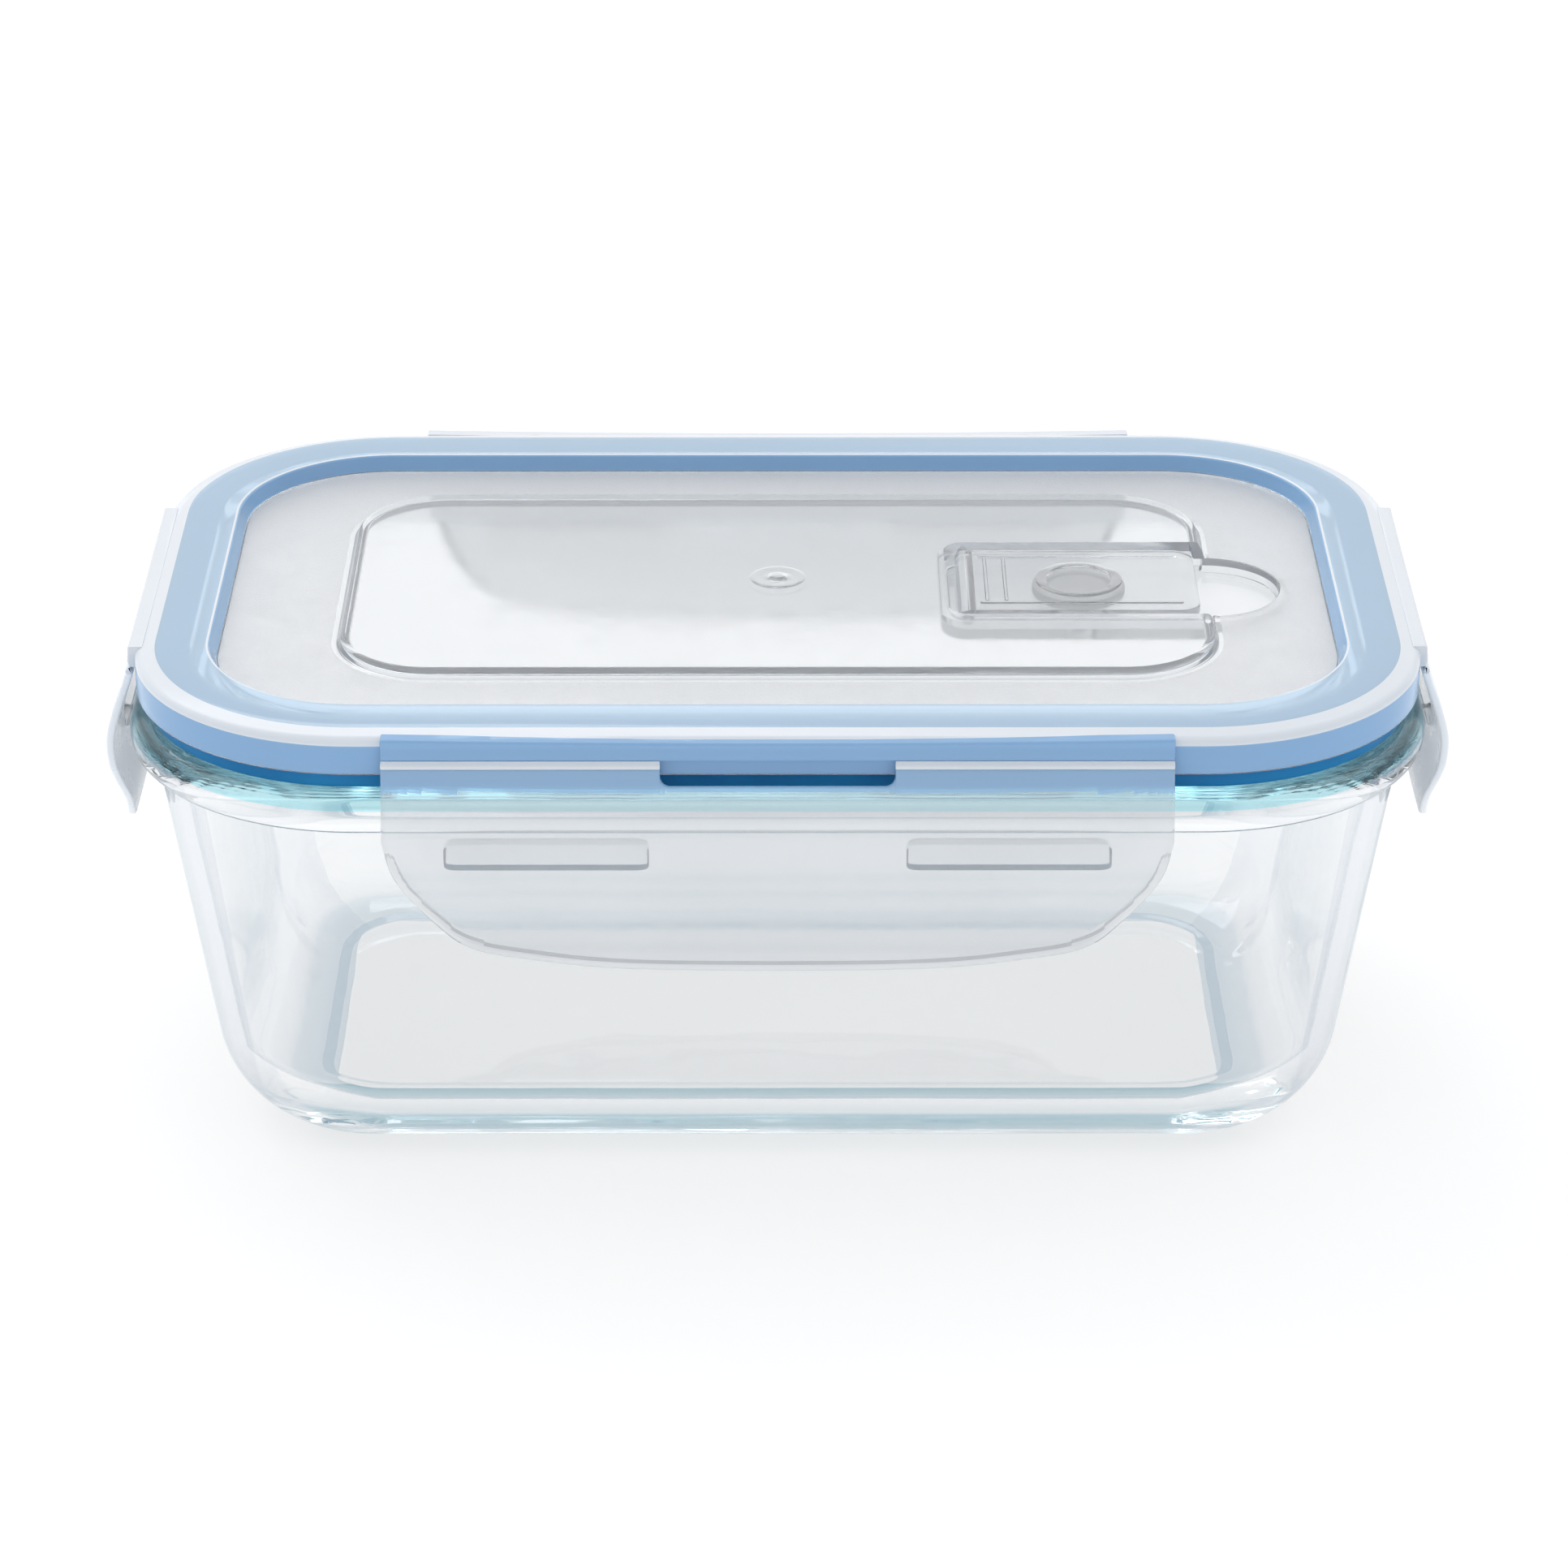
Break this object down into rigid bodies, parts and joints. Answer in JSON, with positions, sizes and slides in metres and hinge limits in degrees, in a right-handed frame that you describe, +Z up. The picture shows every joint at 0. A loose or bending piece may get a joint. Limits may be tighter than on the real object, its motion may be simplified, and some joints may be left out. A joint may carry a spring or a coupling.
{
  "type": "glass food container with snap-lock lid",
  "caption": "Rectangular glass food box with a translucent snap-lock lid, a blue seal in its rim, hinged latches on every side and a flip-up steam vent.",
  "frame": {"origin": "middle of the base, on the surface that the box stands on", "axes": "+X along the long side, towards the vent; +Y from the front latch to the back latch; +Z up"},
  "size_m": [0.2084, 0.133, 0.0805],
  "materials": {
    "clear_glass": "clear pressed glass with a faint blue-green edge",
    "clear_plastic": "translucent polypropylene, glossy rim and plateau, fine-grained panel",
    "milky_plastic": "milky translucent polypropylene, satin",
    "blue_silicone": "smooth blue silicone",
    "clear_silicone": "clear silicone, satin"
  },
  "bodies": {
    "dish": {"glass_dish": "clear_glass"},
    "lid": {"lid_shell": "clear_plastic", "silicone_seal": "blue_silicone", "hinge_strip_front": "clear_plastic", "hinge_strip_back": "clear_plastic", "hinge_strip_left": "clear_plastic", "hinge_strip_right": "clear_plastic"},
    "front_latch": {"latch_front": "milky_plastic", "catch_bars_front": "milky_plastic"},
    "back_latch": {"latch_back": "milky_plastic", "catch_bars_back": "milky_plastic"},
    "left_latch": {"latch_left": "milky_plastic", "catch_bar_left": "milky_plastic"},
    "right_latch": {"latch_right": "milky_plastic", "catch_bar_right": "milky_plastic"},
    "vent": {"vent_flap": "clear_plastic", "vent_plug": "clear_silicone"}
  },
  "joints": [
    {"name": "lid_lift", "type": "slide", "parent": "dish", "child": "lid", "axis": [0, 0, 1], "range_m": [0, 0.06]},
    {"name": "front_latch_hinge", "type": "hinge", "parent": "lid", "child": "front_latch", "pos_m": [0, -0.06235, 0.0758], "axis": [-1, 0, 0], "range_deg": [0, 115], "deforming": ["catch_bars_front"]},
    {"name": "back_latch_hinge", "type": "hinge", "parent": "lid", "child": "back_latch", "pos_m": [0, 0.06235, 0.0758], "axis": [1, 0, 0], "range_deg": [0, 115], "deforming": ["catch_bars_back"]},
    {"name": "left_latch_hinge", "type": "hinge", "parent": "lid", "child": "left_latch", "pos_m": [-0.1001, 0, 0.0758], "axis": [0, 1, 0], "range_deg": [0, 115], "deforming": ["catch_bar_left"]},
    {"name": "right_latch_hinge", "type": "hinge", "parent": "lid", "child": "right_latch", "pos_m": [0.1001, 0, 0.0758], "axis": [0, -1, 0], "range_deg": [0, 115], "deforming": ["catch_bar_right"]},
    {"name": "vent_hinge", "type": "hinge", "parent": "lid", "child": "vent", "pos_m": [0.0298, 0, 0.0778], "axis": [0, -1, 0], "range_deg": [0, 100]}
  ]
}
